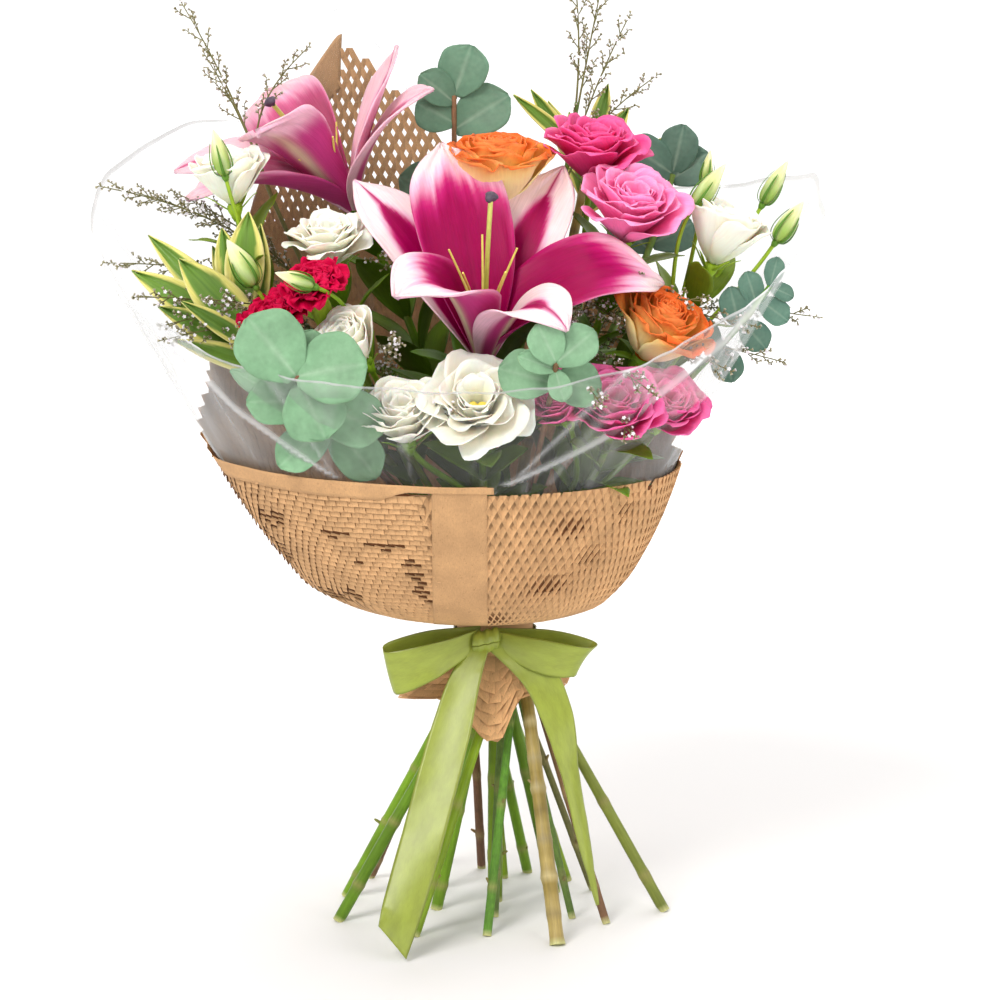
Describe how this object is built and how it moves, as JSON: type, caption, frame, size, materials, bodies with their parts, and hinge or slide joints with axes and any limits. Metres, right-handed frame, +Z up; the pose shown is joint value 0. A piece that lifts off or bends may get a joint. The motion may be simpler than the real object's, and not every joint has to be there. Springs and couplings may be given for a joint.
{
  "type": "hand-tied mixed flower bouquet",
  "caption": "Hand-tied bouquet of lilies, roses, lisianthus, spray carnations, eucalyptus and sea lavender in film and kraft paper with a satin bow.",
  "frame": {"origin": "on the floor, at the cut end of the middle stem", "axes": "+Z up along the stems to the blooms, -Y towards the front where the bow is"},
  "size_m": [0.4009, 0.2593, 0.5419],
  "materials": {
    "kraft_paper": "matte, honeycomb slit brown kraft paper",
    "clear_film": "clear flower film with a faint milky tint",
    "jute_twine": "rough twisted twine",
    "satin_ribbon": "olive green satin",
    "green_stem": "waxy green stem, stands for plant tissue",
    "eucalyptus_leaf": "grey green waxy leaf",
    "striped_leaf": "green leaf with cream margins",
    "sea_lavender": "thin dry twig with small florets",
    "lily_petal": "magenta petal with pale margins",
    "lily_pistil": "yellow green pistil and filaments",
    "rose_petal": "velvety yellow petal with orange rim",
    "white_petal": "thin creamy white petal",
    "pink_petal": "thin pink petal",
    "carnation_petal": "crimson fringed petal"
  },
  "bodies": {
    "root": {"kraft_wrap": "kraft_paper", "film_wrap": "clear_film", "twine_tie": "jute_twine", "ribbon_bow": "satin_ribbon", "stem_rose_top": "green_stem", "stem_lily_back": "green_stem", "stem_carnations": "green_stem", "stem_lily_front": "green_stem", "stem_pink_high": "green_stem", "eucalyptus_high": "eucalyptus_leaf", "sea_lavender_right": "sea_lavender", "striped_leaves_back": "striped_leaf", "eucalyptus_top": "eucalyptus_leaf", "striped_leaves_left": "striped_leaf", "sea_lavender_left": "sea_lavender", "stem_white_far": "green_stem", "stem_white_mid": "green_stem", "eucalyptus_left": "eucalyptus_leaf", "stem_white_low": "green_stem", "eucalyptus_front": "eucalyptus_leaf", "stem_pink_low": "green_stem", "stem_rose_right": "green_stem", "stem_white_right": "green_stem", "eucalyptus_right": "eucalyptus_leaf", "lily_front_petals": "lily_petal", "lily_back_petals": "lily_petal", "rose_top_petals": "rose_petal", "rose_right_petals": "rose_petal", "white_far_petals": "white_petal", "white_mid_petals": "white_petal", "white_side_petals": "white_petal", "white_cup_petals": "white_petal", "white_open_petals": "white_petal", "white_right_petals": "white_petal", "pink_back_petals": "pink_petal", "pink_high_petals": "pink_petal", "pink_dark_petals": "pink_petal", "pink_low_petals": "pink_petal", "pink_edge_petals": "pink_petal", "carnation_high_petals": "carnation_petal", "carnation_low_petals": "carnation_petal", "lily_front_pistil": "lily_pistil", "lily_back_pistil": "lily_pistil"}
  },
  "joints": []
}
